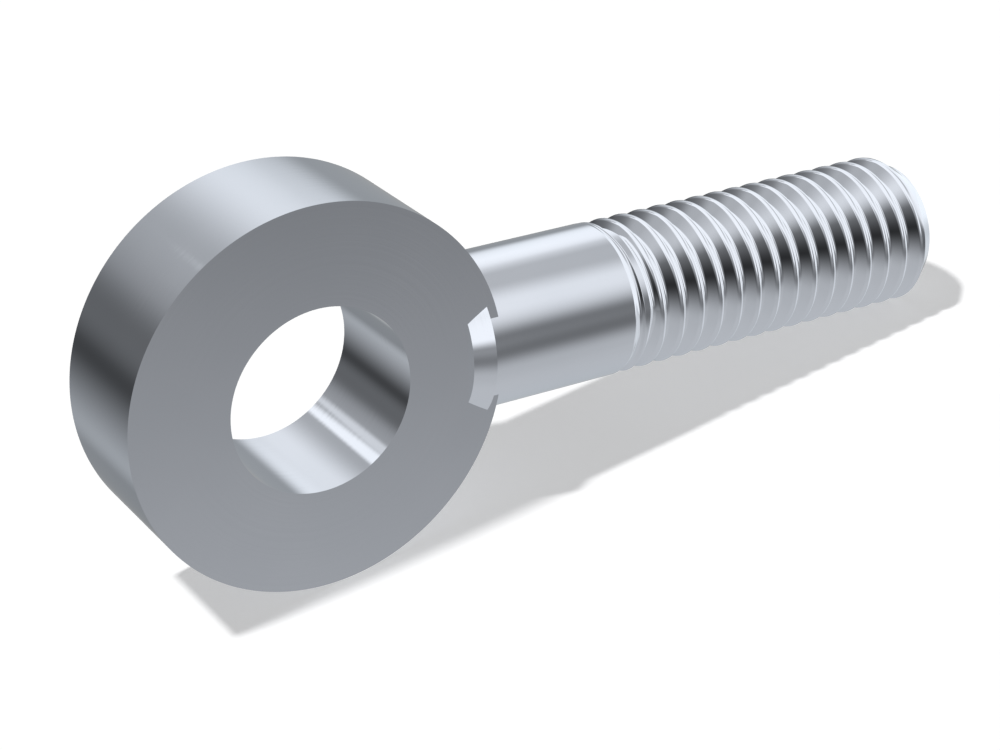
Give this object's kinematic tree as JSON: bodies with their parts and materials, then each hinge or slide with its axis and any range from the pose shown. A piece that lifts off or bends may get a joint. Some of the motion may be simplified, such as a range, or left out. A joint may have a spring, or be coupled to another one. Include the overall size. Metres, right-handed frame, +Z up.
{
  "type": "swing eye bolt",
  "caption": "One-piece swing eye bolt: a flat ring with a plain bore on a smooth round shank that ends in a coarse right-hand thread.",
  "frame": {"origin": "middle of the eye's bore", "axes": "+Y along the eye's bore, +Z up; the shank points along +X and dips 9.67 degrees, as the bolt lies on the rim of its eye and on the last thread at its tip"},
  "size_m": [0.0588, 0.011, 0.025],
  "materials": {
    "bright_steel": "bare bright steel, finely turned and lightly polished"
  },
  "bodies": {
    "root": {"eye_bolt": "bright_steel"}
  },
  "joints": []
}
